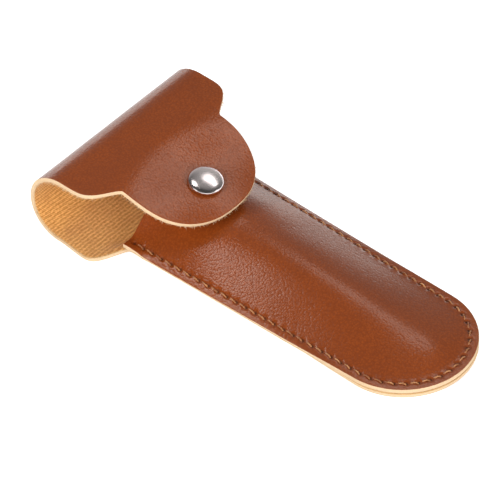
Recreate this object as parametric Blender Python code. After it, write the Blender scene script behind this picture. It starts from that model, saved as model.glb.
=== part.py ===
"""Leather sheath for a folding comb or razor: sewn pocket, curled flap, snap fastener.

The sheath lies on its back. +X runs from the fold to the rounded tip, +Y across, +Z up from the
table, and the origin is under the middle of the sheath. All sizes are in metres.
"""
import math

import bmesh
import bpy
from mathutils import Vector

MM = 0.001

# Leather and joints between pieces
LEATHER = 1.7 * MM
SEAM_GAP = 0.25 * MM
CUT_GAP = 0.3 * MM

# Outline of the pocket
LENGTH = 162.0 * MM
MOUTH_FROM_FOLD = 34.4 * MM
MOUTH_WIDTH = 56.2 * MM
TIP_WIDTH = 52.2 * MM

# Ears of the back panel and the curl of the fold
EAR_WIDTH = 76.0 * MM
EAR_BULGE = 1.2 * MM
EAR_BULGE_RUN = 14.0 * MM
EAR_STEP_LENGTH = 16.0 * MM
EAR_STEP_PAST_MOUTH = 2.0 * MM
EAR_STEP_POWER = 3.0
EAR_LIFT_RUN = 8.5 * MM
CURL_RADIUS = 13.4 * MM
BEND_LINES = (math.radians(30), math.radians(90), math.radians(150))

# Flap, measured along the leather from the top of the curl
FLAP_FLAT = 11.1 * MM
FLAP_BEND_RADIUS = 52.0 * MM
FLAP_SLOPE = math.radians(21)
FLAP_EAR_WIDTH = 73.4 * MM
FLAP_EAR_STEP = 19.3 * MM
FLAP_STEP_POWER = 2.85
TONGUE_CENTRE = 21.1 * MM
TONGUE_WIDTH = 50.9 * MM
TONGUE_REACH = 28.1 * MM
TONGUE_POWER = 2.3
SNAP_PAST_TONGUE_CENTRE = 14.1 * MM

# Seat of the snap: the flap lies flatter round it than along its edges
SEAT_TILT = math.radians(8.5)
SEAT_RADIUS = 2.0 * MM
SEAT_BLEND = 26.0 * MM

# Moulded front: height of its crest, and how the sewn rim tips outward
CREST_BODY = 12.8 * MM
CREST_TIP = 7.4 * MM
CREST_POWER = 2.9
CREST_BLEND = 0.4 * MM
CREST_PAST_ARC = 10.0 * MM
MOUTH_RISE = 2.2 * MM
MOUTH_RISE_RUN = 8.0 * MM
SOFTNESS_MOUTH = 2.2
SOFTNESS_TIP = 0.42
SOFTNESS_RUN = 46.0 * MM
RIM = 4.2 * MM
RIM_TIP_ANGLE = math.radians(26)
RIM_TIP_RUN = 12.0 * MM
RIM_RAMP = 8.0 * MM

# Along the sides the back is cut narrower than the front, and full again round the tip
BACK_INSET = 1.4 * MM
INSET_BEFORE_ARC = 46.0 * MM
INSET_PAST_ARC = 14.0 * MM

# Stitching
STITCH_INSET = 3.1 * MM
STITCH_PITCH = 4.15 * MM
STITCH_START = 2.6 * MM
THREAD_RADIUS = 0.25 * MM
LOOP_HALF = 0.45 * MM
SLOT_HALF_LENGTH = 0.9 * MM
SLOT_HALF_WIDTH = 0.45 * MM
SLOT_OVERCUT = 0.6 * MM
THREAD_LIFT = 0.2 * MM

# Snap fastener
CAP_RADIUS = 6.3 * MM
CAP_HEIGHT = 2.9 * MM
CAP_WALL = 0.31
CAP_DOME_POWER = 2.6
CAP_SHOULDER_POWER = 1.8
METAL = 0.35 * MM
POST_RADIUS = 2.0 * MM
BORE_CLEARANCE = 0.35 * MM
SOCKET_RADIUS = 5.2 * MM
STUD_BASE_RADIUS = 4.8 * MM
STUD_HEAD_RADIUS = 2.75 * MM
STUD_HEAD_HEIGHT = 0.8 * MM
STUD_NECK_RADIUS = 2.2 * MM
EYELET_RADIUS = 1.35 * MM
SPRING_WIRE_RADIUS = 0.28 * MM
SNAP_CLEARANCE = 0.25 * MM
LATHE_STEPS = 20

# Fineness of the panels
BODY_STEPS = 18
TIP_STEPS = 14

# Places that follow from the sizes above
X_FOLD = -LENGTH / 2
X_TIP = LENGTH / 2
X_CURL = X_FOLD + CURL_RADIUS
X_MOUTH = X_FOLD + MOUTH_FROM_FOLD
TIP_RADIUS = TIP_WIDTH / 2
X_ARC = X_TIP - TIP_RADIUS
X_STEP_END = X_MOUTH + EAR_STEP_PAST_MOUTH
X_STEP_START = X_STEP_END - EAR_STEP_LENGTH
RIM_THICKNESS = 2 * LEATHER + SEAM_GAP
CURL_LENGTH = math.pi * CURL_RADIUS
S_TONGUE = CURL_LENGTH + TONGUE_CENTRE
S_SNAP = S_TONGUE + SNAP_PAST_TONGUE_CENTRE
CAP_LIP = CAP_RADIUS - 6 * METAL

# Heights on the snap's axis, measured up from the flap's outer face
H_SOCKET_TOP = -LEATHER - SNAP_CLEARANCE
H_FLARE_TOP = H_SOCKET_TOP - METAL - SNAP_CLEARANCE
H_FLARE_LOW = H_FLARE_TOP - METAL
H_STUD_TOP = H_FLARE_LOW - SNAP_CLEARANCE
H_HEAD_LOW = H_STUD_TOP - STUD_HEAD_HEIGHT
H_SPRING = H_HEAD_LOW - SNAP_CLEARANCE - SPRING_WIRE_RADIUS
H_SOCKET_LOW = H_SPRING - SPRING_WIRE_RADIUS - SNAP_CLEARANCE - METAL
H_BASE_TOP = H_SOCKET_LOW - SNAP_CLEARANCE
H_BASE_LOW = H_BASE_TOP - METAL
H_FRONT = H_BASE_LOW - SNAP_CLEARANCE
H_FRONT_INNER = H_FRONT - LEATHER


def ease(u):
    """Smooth step from 0 to 1."""
    u = min(1.0, max(0.0, u))
    return u * u * (3 - 2 * u)


def mix(a, b, u):
    return a + (b - a) * u


def body_half_width(x):
    """Half the width of the pocket where it is straight."""
    return mix(MOUTH_WIDTH, TIP_WIDTH, (x - X_MOUTH) / (X_ARC - X_MOUTH)) / 2


def back_inset(x):
    """How far inside the front's edge the back is cut."""
    start = X_ARC - INSET_BEFORE_ARC
    end = X_ARC + INSET_PAST_ARC
    return BACK_INSET * (1 - ease((x - start) / (end - start)))


def fold_half_width(s):
    """Half the width of the fold, which narrows round the curl."""
    return mix(EAR_WIDTH, FLAP_EAR_WIDTH, ease(s / CURL_LENGTH)) / 2


def back_half_width(x):
    """Half the width of the back panel, with the rounded step out to the ears."""
    along_step = min(1.0, max(0.0, (x - X_STEP_START) / EAR_STEP_LENGTH))
    ear = fold_half_width(X_CURL - x) + EAR_BULGE * ease((x - X_CURL) / EAR_BULGE_RUN)
    body = body_half_width(max(x, X_MOUTH)) - back_inset(x)
    return mix(ear, body, ease(along_step ** EAR_STEP_POWER))


def flap_half_width(s):
    """Half the width of the flap at length s along the leather."""
    half = TONGUE_WIDTH / 2
    if s > S_TONGUE:
        reach = min(1.0, (s - S_TONGUE) / TONGUE_REACH)
        return half * (1 - reach ** TONGUE_POWER) ** (1 / TONGUE_POWER)
    along_step = min(1.0, max(0.0, (s - CURL_LENGTH) / FLAP_EAR_STEP))
    return mix(fold_half_width(s), half, ease(along_step ** FLAP_STEP_POWER))


def leather_line(s):
    """Outer face of the fold and flap at length s from the foot of the curl: x, z and outward angle.

    The outward direction is (sin(angle), cos(angle)) in x and z.
    """
    if s <= CURL_LENGTH:
        turn = s / CURL_RADIUS
        x = X_CURL - CURL_RADIUS * math.sin(turn)
        return x, CURL_RADIUS * (1 - math.cos(turn)), turn - math.pi
    s -= CURL_LENGTH
    if s <= FLAP_FLAT:
        return X_CURL + s, 2 * CURL_RADIUS, 0.0
    s -= FLAP_FLAT
    turn = min(s / FLAP_BEND_RADIUS, FLAP_SLOPE)
    x = X_CURL + FLAP_FLAT + FLAP_BEND_RADIUS * math.sin(turn)
    z = 2 * CURL_RADIUS - FLAP_BEND_RADIUS * (1 - math.cos(turn))
    s -= FLAP_BEND_RADIUS * turn
    return x + s * math.cos(turn), z - s * math.sin(turn), turn


SNAP_X, SNAP_Z = leather_line(S_SNAP)[:2]
SNAP_AXIS = Vector((math.sin(SEAT_TILT), 0.0, math.cos(SEAT_TILT)))
SNAP_POINT = Vector((SNAP_X, 0.0, SNAP_Z))


def flap_place(s, y):
    """Outer face of the fold and flap at length s and width y, and its outward direction."""
    x, z, angle = leather_line(s)
    along = s - S_SNAP
    seat = 1 - ease((math.hypot(along, y) - SEAT_RADIUS) / SEAT_BLEND)
    x = mix(x, SNAP_X + along * math.cos(SEAT_TILT), seat)
    z = mix(z, SNAP_Z - along * math.sin(SEAT_TILT), seat)
    angle = mix(angle, SEAT_TILT, seat)
    return Vector((x, y, z)), Vector((math.sin(angle), 0.0, math.cos(angle)))


def rim_angle(x):
    """How far the sewn rim tips down outward: level at the ears and at the tip."""
    start = mix(X_MOUTH, X_TIP, 0.2)
    along = 1 - ease((x - start) / (X_TIP - start))
    past_ears = ease((x - X_STEP_END) / RIM_TIP_RUN)
    return RIM_TIP_ANGLE * along * past_ears


def rim_lift(x):
    """Height of the rim's lower edge: room for the thread under a rim that is level."""
    room = 2 * THREAD_RADIUS + 1.5 * THREAD_LIFT - STITCH_INSET * math.sin(rim_angle(x))
    return max(0.0, room) * ease(1 - (X_MOUTH - x) / EAR_LIFT_RUN)


def crest_height(x):
    """Top of the front panel on the middle line: parallel to the snap's seat, and flared at the mouth."""
    under_flap = SNAP_Z + H_FRONT / math.cos(SEAT_TILT)
    flare = under_flap - (x - SNAP_X) * math.tan(SEAT_TILT)
    flare += MOUTH_RISE * ease(1 - (x - X_MOUTH) / MOUTH_RISE_RUN)
    along = max(0.0, (x - X_MOUTH) / (X_ARC + CREST_PAST_ARC - X_MOUTH))
    body = mix(CREST_BODY, CREST_TIP, along ** CREST_POWER)
    apart = flare - body
    return (flare + body + math.sqrt(apart * apart + CREST_BLEND ** 2)) / 2


def bulge(u, x):
    """Share of the crest height at share u of the way from the rim to the middle line."""
    soft = mix(SOFTNESS_MOUTH, SOFTNESS_TIP, ease((x - X_MOUTH) / SOFTNESS_RUN))
    low = math.sqrt(1 + soft * soft)
    return (low - math.sqrt((1 - u) ** 2 + soft * soft)) / (low - soft)


def new_object(name, bm, material, weld=0.0):
    """Turn a bmesh into a named object with outward faces."""
    if weld:
        bmesh.ops.remove_doubles(bm, verts=bm.verts, dist=weld)
    bmesh.ops.dissolve_degenerate(bm, edges=bm.edges, dist=1e-7)
    bmesh.ops.recalc_face_normals(bm, faces=bm.faces)
    mesh = bpy.data.meshes.new(name)
    bm.to_mesh(mesh)
    bm.free()
    obj = bpy.data.objects.new(name, mesh)
    bpy.context.scene.collection.objects.link(obj)
    if material:
        mesh.materials.append(material)
    return obj


def material(name, colour, metallic, roughness):
    mat = bpy.data.materials.new(name)
    mat.use_nodes = True
    shader = mat.node_tree.nodes["Principled BSDF"]
    shader.inputs["Base Color"].default_value = (*colour, 1.0)
    shader.inputs["Metallic"].default_value = metallic
    shader.inputs["Roughness"].default_value = roughness
    return mat


def add_face(bm, corners):
    """Add a face, leaving out corners that stand in the same place."""
    kept = []
    for vert in corners:
        if all((vert.co - other.co).length > 1e-7 for other in kept):
            kept.append(vert)
    if len(kept) > 2:
        bm.faces.new(kept)


def skin(bm, upper, lower):
    """Close two grids of points into one body: both faces, the rim, and the two cut ends."""
    top = [[bm.verts.new(p) for p in column] for column in upper]
    bottom = [[bm.verts.new(p) for p in column] for column in lower]
    for a, b in zip(range(len(top) - 1), range(1, len(top))):
        for i in range(len(top[a]) - 1):
            add_face(bm, (top[a][i], top[b][i], top[b][i + 1], top[a][i + 1]))
            add_face(bm, (bottom[a][i], bottom[a][i + 1], bottom[b][i + 1], bottom[b][i]))
        add_face(bm, (top[a][0], bottom[a][0], bottom[b][0], top[b][0]))
    for end in (0, -1):
        for i in range(len(top[end]) - 1):
            add_face(bm, (top[end][i], top[end][i + 1], bottom[end][i + 1], bottom[end][i]))


def rim_frame(edge, inward, x):
    """Inward direction on the sewn rim, its outward normal, and its upper outer edge."""
    angle = rim_angle(x)
    along = inward * math.cos(angle) + Vector((0, 0, math.sin(angle)))
    normal = Vector((0, 0, math.cos(angle))) - inward * math.sin(angle)
    top = Vector((edge.x, edge.y, rim_lift(x) + RIM_THICKNESS * math.cos(angle)))
    return along, normal, top


def no_inset(x):
    return 0.0


def tip_columns(steps, inset):
    """Outline points round the tip, from the near side to the far side: edge, inward, spine x."""
    for i in range(steps + 1):
        turn = mix(-math.pi / 2, math.pi / 2, i / steps)
        out = Vector((math.cos(turn), math.sin(turn), 0.0))
        radius = TIP_RADIUS - inset(X_ARC + out.x * TIP_RADIUS)
        edge = Vector((X_ARC, 0.0, 0.0)) + out * radius
        yield edge, -out, X_ARC + CREST_PAST_ARC * math.cos(turn)


def outline_columns(stations, half_width, tip_steps, inset=no_inset):
    """Columns of a panel from its near end, round the tip, to its far end."""
    near = [(Vector((x, -half_width(x), 0.0)), Vector((0, 1, 0)), x) for x in stations]
    far = [(Vector((x, half_width(x), 0.0)), Vector((0, -1, 0)), x) for x in reversed(stations)]
    return near + list(tip_columns(tip_steps, inset)) + far


def offset_column(points, distance, rim_normal):
    """Points moved along the column's own normals; the sewn rim keeps its own normal."""
    moved = []
    for i, point in enumerate(points):
        normal = rim_normal
        if i > 1:
            after = points[min(i + 1, len(points) - 1)]
            run = after - points[i - 1]
            if i == len(points) - 1:
                run.z = 0.0
            side = Vector((run.y, -run.x, 0.0))
            normal = side.cross(run).normalized()
            if normal.z < 0:
                normal = -normal
        moved.append(point + normal * distance)
    return moved


def body_stations(count):
    """Stations from the mouth to the tip arc, closer together at the mouth."""
    return [mix(X_MOUTH, X_ARC, (i / count) ** 1.25) for i in range(count)]


def front_panel(mat):
    """The moulded front: a sewn rim that rises into the bulge."""
    shares = (0.14, 0.3, 0.5, 0.7, 0.86, 1.0)
    upper = []
    lower = []
    for edge, inward, spine in outline_columns(body_stations(BODY_STEPS), body_half_width, TIP_STEPS):
        along, normal, top = rim_frame(edge, inward, edge.x)
        points = [top, top + along * RIM]
        foot = points[1]
        crest = Vector((spine, 0.0, crest_height(spine)))
        for share in shares:
            point = foot.lerp(crest, share)
            point.z = mix(foot.z, crest.z, bulge(share, edge.x))
            points.append(point)
        inner = offset_column(points, -LEATHER, normal)
        inner[-1] = crest - Vector((0, 0, LEATHER))
        upper.append(points)
        lower.append(inner)
    bm = bmesh.new()
    skin(bm, upper, lower)
    return new_object("front_panel", bm, mat, weld=1e-6)


def back_panel(mat):
    """The flat back with its ears and the first part of the curl, lifted a little along the seam."""
    first_bend = BEND_LINES[0] - CUT_GAP / 2 / CURL_RADIUS
    curl_steps = 4
    step_steps = 10
    turns = [first_bend * (1 - i / curl_steps) for i in range(curl_steps)]
    stations = spread(X_CURL, X_STEP_START, 4)[:-1]
    stations += [mix(X_STEP_START, X_MOUTH, i / step_steps) for i in range(step_steps)]
    stations += body_stations(BODY_STEPS)
    ramp = (0.35, 0.7, 1.0)
    upper = []
    lower = []
    for edge, inward, spine in outline_columns(stations, back_half_width, TIP_STEPS, back_inset):
        along, normal, top = rim_frame(edge, inward, edge.x)
        inset = back_inset(edge.x)
        top.z += inset * math.tan(rim_angle(edge.x))
        points = [top - normal * RIM_THICKNESS]
        points.append(points[0] + along * (RIM - inset))
        lift = points[1].z
        for share in ramp:
            point = points[1] + inward * RIM_RAMP * share
            point.z = lift * (1 - ease(share))
            points.append(point)
        points.append(Vector((spine, 0.0, 0.0)))
        inner = offset_column(points, LEATHER, normal)
        inner[-1] = points[-1] + Vector((0, 0, LEATHER))
        upper.append(inner)
        lower.append(points)
    near_shares = [point.y / back_half_width(X_CURL) for point in lower[0]]
    curled_lower = []
    curled_upper = []
    for turn in turns:
        x, z, angle = leather_line(turn * CURL_RADIUS)
        out = Vector((math.sin(angle), 0.0, math.cos(angle)))
        half = fold_half_width(turn * CURL_RADIUS)
        outer = [Vector((x, share * half, z)) for share in near_shares]
        curled_lower.append(outer)
        curled_upper.append([point - out * LEATHER for point in outer])
    flip = Vector((1, -1, 1))
    far_lower = [[point * flip for point in column] for column in reversed(curled_lower)]
    far_upper = [[point * flip for point in column] for column in reversed(curled_upper)]
    bm = bmesh.new()
    skin(bm, curled_upper + upper + far_upper, curled_lower + lower + far_lower)
    return new_object("back_panel", bm, mat, weld=1e-6)


def ribbon(name, lengths, shares, mat):
    """A piece of the fold or flap between two cuts; shares are places across it, from side to side."""
    upper = []
    lower = []
    for s in lengths:
        half = flap_half_width(s)
        places = [flap_place(s, half * share) for share in shares]
        upper.append([point for point, out in places])
        lower.append([point - out * LEATHER for point, out in places])
    bm = bmesh.new()
    skin(bm, upper, lower)
    top = [row[-1] for row in upper]
    bottom = [row[-1] for row in lower]
    for a, b in zip(range(len(top) - 1), range(1, len(top))):
        add_face(bm, [bm.verts.new(p) for p in (top[a], bottom[a], bottom[b], top[b])])
    return new_object(name, bm, mat, weld=1e-6)


def spread(start, end, steps):
    return [mix(start, end, i / steps) for i in range(steps + 1)]


def fold_strip(name, first, last, mat):
    start = BEND_LINES[first] * CURL_RADIUS + CUT_GAP / 2
    end = BEND_LINES[last] * CURL_RADIUS - CUT_GAP / 2
    return ribbon(name, spread(start, end, 6), (-1.0, 1.0), mat)


def flap(mat):
    """The top of the curl, the ears, the step and the round tongue."""
    start = BEND_LINES[2] * CURL_RADIUS + CUT_GAP / 2
    lengths = spread(start, CURL_LENGTH, 3)
    lengths += spread(CURL_LENGTH, CURL_LENGTH + FLAP_EAR_STEP, 16)[1:]
    lengths.append(S_TONGUE)
    round_steps = 16
    for i in range(1, round_steps + 1):
        lengths.append(S_TONGUE + TONGUE_REACH * math.sin(math.pi / 2 * i / round_steps))
    across = (0.12, 0.26, 0.42, 0.6, 0.8, 1.0)
    shares = [-share for share in reversed(across)] + [0.0] + list(across)
    return ribbon("flap", lengths, shares, mat)


def seam_points():
    """Places of the stitch holes along the U seam: centre on the upper face, tangent, normal, across."""
    inner_radius = TIP_RADIUS - STITCH_INSET
    straight = X_ARC - X_MOUTH - STITCH_START
    total = 2 * straight + math.pi * inner_radius
    count = round(total / STITCH_PITCH)
    holes = []
    for i in range(count + 1):
        s = total * i / count
        side = -1
        if s > total / 2:
            side = 1
        from_mouth = min(s, total - s)
        if from_mouth <= straight:
            x = X_MOUTH + STITCH_START + from_mouth
            edge = Vector((x, side * body_half_width(x), 0.0))
            inward = Vector((0.0, -side, 0.0))
            tangent = Vector((-side, 0.0, 0.0))
        else:
            turn = (s - straight) / inner_radius - math.pi / 2
            out = Vector((math.cos(turn), math.sin(turn), 0.0))
            edge = Vector((X_ARC, 0.0, 0.0)) + out * TIP_RADIUS
            inward = -out
            tangent = Vector((-out.y, out.x, 0.0))
        along, normal, top = rim_frame(edge, inward, edge.x)
        holes.append((top + along * STITCH_INSET, tangent, normal, along))
    return holes


def stitch_slots(holes):
    """One cutter holding every stitch slot, through both leathers."""
    bm = bmesh.new()
    for centre, tangent, normal, across in holes:
        above = centre + normal * SLOT_OVERCUT
        below = centre - normal * (RIM_THICKNESS + SLOT_OVERCUT)
        rings = []
        for middle in (above, below):
            ring = []
            for a, c in ((-1, -1), (1, -1), (1, 1), (-1, 1)):
                place = middle + tangent * SLOT_HALF_LENGTH * a + across * SLOT_HALF_WIDTH * c
                ring.append(bm.verts.new(place))
            rings.append(ring)
        bm.faces.new(rings[0])
        bm.faces.new(reversed(rings[1]))
        for i in range(4):
            j = (i + 1) % 4
            bm.faces.new((rings[0][i], rings[1][i], rings[1][j], rings[0][j]))
    return cutter("stitch_slots", bm)


def cutter(name, bm):
    obj = new_object(name, bm, None)
    obj.hide_render = True
    obj.display_type = "WIRE"
    return obj


def cut(obj, tool):
    modifier = obj.modifiers.new(tool.name, "BOOLEAN")
    modifier.operation = "DIFFERENCE"
    modifier.solver = "EXACT"
    modifier.object = tool


def thread(name, holes, upper, mat):
    """One thread: flat runs on the leather, and a square loop down into each hole."""
    surface = THREAD_RADIUS + THREAD_LIFT
    middle = -RIM_THICKNESS / 2
    meeting = THREAD_RADIUS + THREAD_LIFT
    path = []
    for centre, tangent, normal, across in holes:
        if upper:
            run, dip = surface, middle + meeting
        else:
            run, dip = -RIM_THICKNESS - surface, middle - meeting
        for shift, height in ((-1, run), (-1, dip), (1, dip), (1, run)):
            place = centre + tangent * LOOP_HALF * shift + normal * height
            path.append((place, across))
    path = path[1:-1]
    bm = bmesh.new()
    rings = []
    for i, (place, across) in enumerate(path):
        before = path[max(i - 1, 0)][0]
        after = path[min(i + 1, len(path) - 1)][0]
        back_way = (place - before).normalized() if i else (after - place).normalized()
        on_way = (after - place).normalized() if i < len(path) - 1 else back_way
        heading = (back_way + on_way).normalized()
        mitre = across.cross(heading).normalized() / max(0.5, heading.dot(on_way))
        ring = [place + across * THREAD_RADIUS, place + mitre * THREAD_RADIUS]
        ring += [place - across * THREAD_RADIUS, place - mitre * THREAD_RADIUS]
        rings.append([bm.verts.new(p) for p in ring])
    tube_faces(bm, rings)
    return new_object(name, bm, mat)


def tube_faces(bm, rings):
    sides = len(rings[0])
    for a, b in zip(rings, rings[1:]):
        for i in range(sides):
            j = (i + 1) % sides
            bm.faces.new((a[i], a[j], b[j], b[i]))
    bm.faces.new(reversed(rings[0]))
    bm.faces.new(rings[-1])


def snap_place(radius, height, turn):
    """Place on the snap's axis frame: height is measured from the flap's outer face."""
    across = Vector((0.0, 1.0, 0.0))
    along = across.cross(SNAP_AXIS)
    swing = along * math.cos(turn) + across * math.sin(turn)
    return SNAP_POINT + SNAP_AXIS * height + swing * radius


def lathe(name, profile, mat):
    """Turn a closed outline of (radius, height) pairs about the snap's axis."""
    bm = bmesh.new()
    rings = []
    for radius, height in profile:
        if radius < 1e-7:
            rings.append([bm.verts.new(snap_place(0.0, height, 0.0))] * LATHE_STEPS)
            continue
        ring = []
        for i in range(LATHE_STEPS):
            ring.append(bm.verts.new(snap_place(radius, height, 2 * math.pi * i / LATHE_STEPS)))
        rings.append(ring)
    pairs = list(zip(rings, rings[1:]))
    if profile[0][0] > 1e-7:
        pairs.append((rings[-1], rings[0]))
    for a, b in pairs:
        for i in range(LATHE_STEPS):
            j = (i + 1) % LATHE_STEPS
            add_face(bm, (a[i], a[j], b[j], b[i]))
    return new_object(name, bm, mat)


def dome_height(r):
    """Share of the cap's height at share r of its radius: a flat top, a tight shoulder, then the wall."""
    return mix(CAP_WALL, 1.0, (1 - r ** CAP_DOME_POWER) ** (1 / CAP_SHOULDER_POWER))


def snap_cap(mat):
    """Domed shell whose rim is turned in under the post's head."""
    low = SNAP_CLEARANCE
    wall = CAP_RADIUS - METAL
    dome = [(r, dome_height(r)) for r in (0.3, 0.55, 0.75, 0.88, 0.96, 1.0)]
    profile = [(0.0, low + CAP_HEIGHT)]
    profile += [(CAP_RADIUS * r, low + CAP_HEIGHT * h) for r, h in dome]
    profile += [(CAP_RADIUS * 0.97, low), (CAP_LIP, low), (CAP_LIP, low + METAL)]
    profile += [(wall, low + METAL)]
    inside = CAP_HEIGHT - METAL
    profile += [(wall * r, low + inside * h) for r, h in reversed(dome)]
    profile += [(0.0, low + inside)]
    return lathe("snap_cap", profile, mat)


def snap_bore():
    """Cutter for the holes of the post and the eyelet, through the flap and the front panel."""
    bm = bmesh.new()
    radius = POST_RADIUS + BORE_CLEARANCE
    rings = []
    for height in (LEATHER, H_FRONT_INNER - LEATHER):
        ring = []
        for i in range(LATHE_STEPS):
            ring.append(bm.verts.new(snap_place(radius, height, 2 * math.pi * i / LATHE_STEPS)))
        rings.append(ring)
    tube_faces(bm, rings)
    return cutter("snap_bore", bm)


def snap_cap_post(mat):
    """Tubular rivet: a head held in the cap, a barrel through the flap, flared inside the socket."""
    head_low = SNAP_CLEARANCE + METAL + SNAP_CLEARANCE
    head_radius = CAP_LIP + 2 * METAL
    flare_radius = POST_RADIUS + 2 * METAL
    inner = POST_RADIUS - METAL
    profile = [
        (0.0, head_low + METAL),
        (head_radius, head_low + METAL),
        (head_radius, head_low),
        (POST_RADIUS, head_low),
        (POST_RADIUS, H_FLARE_TOP),
        (flare_radius, H_FLARE_TOP),
        (flare_radius, H_FLARE_LOW),
        (inner, H_FLARE_LOW),
        (inner, head_low - METAL),
        (0.0, head_low - METAL),
    ]
    return lathe("snap_cap_post", profile, mat)


def snap_socket(mat):
    """Ring under the flap: a plate held by the post's flare, and a wall with a groove for the spring."""
    plate_hole = POST_RADIUS + SNAP_CLEARANCE
    groove = STUD_NECK_RADIUS + 4 * SPRING_WIRE_RADIUS + SNAP_CLEARANCE
    mouth = STUD_HEAD_RADIUS + SNAP_CLEARANCE
    outer = groove + 2 * METAL
    profile = [
        (plate_hole, H_SOCKET_TOP),
        (SOCKET_RADIUS, H_SOCKET_TOP),
        (SOCKET_RADIUS, H_SOCKET_TOP - METAL),
        (outer, H_SOCKET_TOP - 2 * METAL),
        (outer, H_SOCKET_LOW + METAL),
        (outer - METAL, H_SOCKET_LOW),
        (mouth, H_SOCKET_LOW),
        (mouth, H_SOCKET_LOW + METAL),
        (groove, H_SOCKET_LOW + METAL),
        (groove, H_SOCKET_TOP - METAL),
        (plate_hole, H_SOCKET_TOP - METAL),
    ]
    return lathe("snap_socket", profile, mat)


def socket_spring(mat):
    """Split wire ring that closes on the stud's neck under its head."""
    ring_radius = STUD_NECK_RADIUS + SNAP_CLEARANCE + SPRING_WIRE_RADIUS
    opening = math.radians(50)
    sides = 6
    bm = bmesh.new()
    rings = []
    for turn in spread(opening / 2, 2 * math.pi - opening / 2, LATHE_STEPS):
        ring = []
        for k in range(sides):
            roll = 2 * math.pi * k / sides
            radius = ring_radius + SPRING_WIRE_RADIUS * math.cos(roll)
            height = H_SPRING + SPRING_WIRE_RADIUS * math.sin(roll)
            ring.append(bm.verts.new(snap_place(radius, height, turn)))
        rings.append(ring)
    tube_faces(bm, rings)
    return new_object("socket_spring", bm, mat)


def snap_stud(mat):
    """Hollow stud: a base on the front panel, a neck for the spring, and a rounded head."""
    bore = EYELET_RADIUS + SNAP_CLEARANCE
    roof = H_STUD_TOP - METAL
    profile = [
        (0.0, roof),
        (bore, roof),
        (bore, H_BASE_LOW),
        (STUD_BASE_RADIUS, H_BASE_LOW),
        (STUD_BASE_RADIUS, H_BASE_TOP),
        (STUD_NECK_RADIUS, H_BASE_TOP),
        (STUD_NECK_RADIUS, H_HEAD_LOW - METAL / 2),
        (STUD_HEAD_RADIUS, H_HEAD_LOW),
        (STUD_HEAD_RADIUS, H_STUD_TOP - METAL),
        (STUD_NECK_RADIUS, H_STUD_TOP),
        (0.0, H_STUD_TOP),
    ]
    return lathe("snap_stud", profile, mat)


def stud_eyelet(mat):
    """Flanged tube set from inside the pocket, up into the stud."""
    arch = STUD_BASE_RADIUS ** 2 * (crest_height(SNAP_X) - RIM_THICKNESS) / (MOUTH_WIDTH / 2 - RIM) ** 2
    flange_top = H_FRONT_INNER - arch - SNAP_CLEARANCE
    barrel_top = H_STUD_TOP - METAL - SNAP_CLEARANCE
    inner = EYELET_RADIUS - METAL
    profile = [
        (inner, flange_top - METAL),
        (STUD_BASE_RADIUS, flange_top - METAL),
        (STUD_BASE_RADIUS, flange_top),
        (EYELET_RADIUS, flange_top),
        (EYELET_RADIUS, barrel_top),
        (inner, barrel_top),
    ]
    return lathe("stud_eyelet", profile, mat)


def build():
    for obj in list(bpy.data.objects):
        bpy.data.objects.remove(obj, do_unlink=True)
    leather = material("leather", (0.24, 0.055, 0.015), 0.0, 0.5)
    moulded = material("moulded_leather", (0.26, 0.06, 0.016), 0.0, 0.45)
    top_thread = material("needle_thread", (0.55, 0.24, 0.08), 0.0, 0.7)
    low_thread = material("bobbin_thread", (0.45, 0.19, 0.06), 0.0, 0.7)
    nickel = material("nickel", (0.72, 0.7, 0.67), 1.0, 0.15)
    steel = material("spring_steel", (0.5, 0.5, 0.52), 1.0, 0.3)
    holes = seam_points()
    slots = stitch_slots(holes)
    bore = snap_bore()
    back = back_panel(leather)
    front = front_panel(moulded)
    cut(back, slots)
    cut(front, slots)
    cut(front, bore)
    fold_strip("fold_strip_lower", 0, 1, leather)
    fold_strip("fold_strip_upper", 1, 2, leather)
    cut(flap(leather), bore)
    thread("needle_thread", holes, True, top_thread)
    thread("bobbin_thread", holes, False, low_thread)
    snap_cap(nickel)
    snap_cap_post(nickel)
    snap_socket(nickel)
    socket_spring(steel)
    snap_stud(nickel)
    stud_eyelet(nickel)


build()
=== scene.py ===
"""Looks of the leather sheath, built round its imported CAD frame.

Leather, thread and snap are remade here at a finer grain than the CAD solids, at the same sizes and in
the same frame: +X from the fold to the tip, +Y across, +Z up from the table. All sizes are in metres.
"""
import random
from math import copysign, cos, exp, hypot, pi, radians, sin, sqrt, tan

import bmesh
import bpy
import numpy as np
from mathutils import Matrix, Vector, kdtree, noise


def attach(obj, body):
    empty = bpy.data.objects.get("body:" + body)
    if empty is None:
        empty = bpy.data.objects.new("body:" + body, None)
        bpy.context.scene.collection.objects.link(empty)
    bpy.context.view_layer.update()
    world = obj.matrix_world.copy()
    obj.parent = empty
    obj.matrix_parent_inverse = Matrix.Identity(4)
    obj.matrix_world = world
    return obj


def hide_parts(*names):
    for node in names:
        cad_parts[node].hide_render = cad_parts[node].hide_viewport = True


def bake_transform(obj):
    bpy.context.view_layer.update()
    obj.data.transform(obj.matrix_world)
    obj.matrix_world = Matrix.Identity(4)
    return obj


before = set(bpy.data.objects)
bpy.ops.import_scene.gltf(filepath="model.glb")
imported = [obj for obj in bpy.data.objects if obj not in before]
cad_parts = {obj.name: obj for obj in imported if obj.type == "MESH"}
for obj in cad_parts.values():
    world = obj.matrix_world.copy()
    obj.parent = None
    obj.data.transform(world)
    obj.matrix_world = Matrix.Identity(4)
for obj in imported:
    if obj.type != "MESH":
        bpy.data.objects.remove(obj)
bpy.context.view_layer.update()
scene = bpy.context.scene

MM = 0.001
random.seed(7)

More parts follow.
